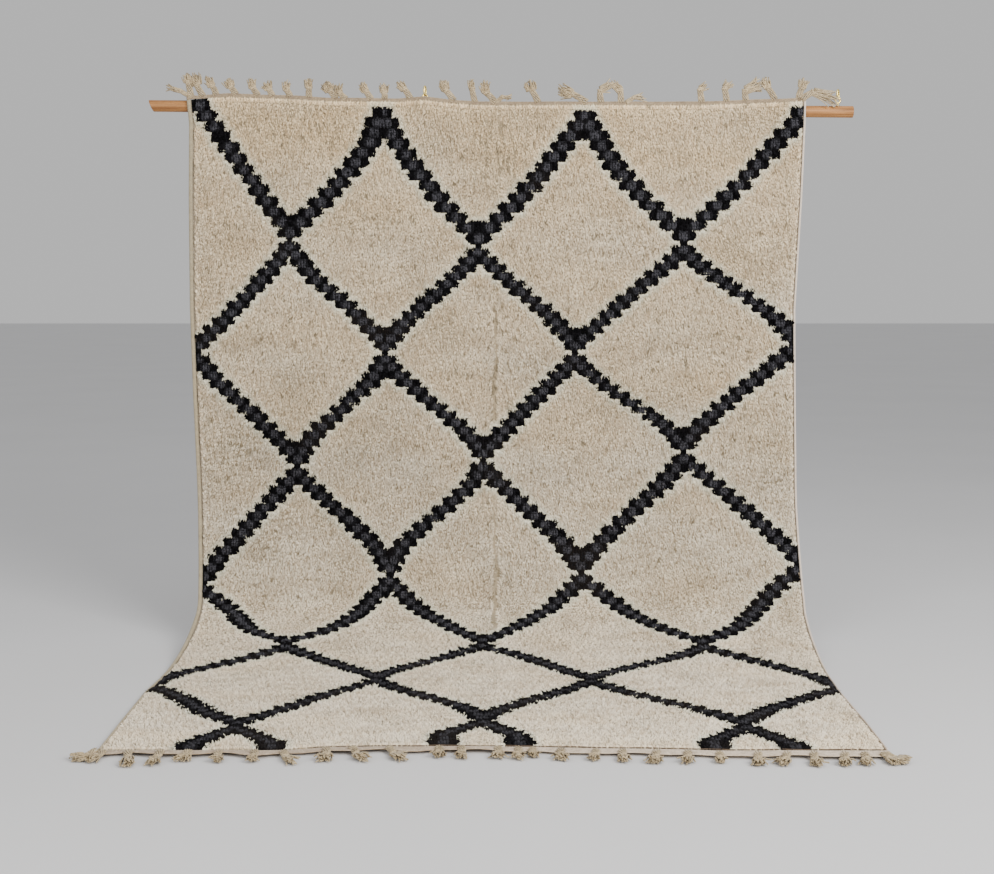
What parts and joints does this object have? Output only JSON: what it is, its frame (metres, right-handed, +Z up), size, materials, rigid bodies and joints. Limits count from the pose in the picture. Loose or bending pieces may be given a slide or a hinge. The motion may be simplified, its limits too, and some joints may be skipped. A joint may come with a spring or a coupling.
{
  "type": "beni ourain rug hung on a wooden pole",
  "caption": "Knotted wool pile rug with an open lattice of dark lines and knotted fringes, hung from a round wooden pole and swept forward onto the floor.",
  "frame": {"origin": "on the rug's underside, in the middle of the stretch that lies flat on the floor", "axes": "+Z up, +X along the pole to the right as seen from the front, +Y back towards the hanging cloth"},
  "size_m": [1.8407, 1.1557, 1.4857],
  "materials": {
    "wool_pile": "hand-knotted wool pile, undyed cream with near-black lattice lines, matt",
    "warp_yarn": "flat-woven and plied undyed warp yarn, matt",
    "pole_wood": "plain turned wood, satin",
    "yellow_brass": "bright drawn brass wire"
  },
  "bodies": {
    "root": {"rug": "wool_pile", "fringe_top": "warp_yarn", "fringe_front": "warp_yarn", "pole": "pole_wood", "screw_eye_middle": "yellow_brass", "screw_eye_end": "yellow_brass", "chain_link_middle": "yellow_brass", "chain_link_end": "yellow_brass"}
  },
  "joints": []
}
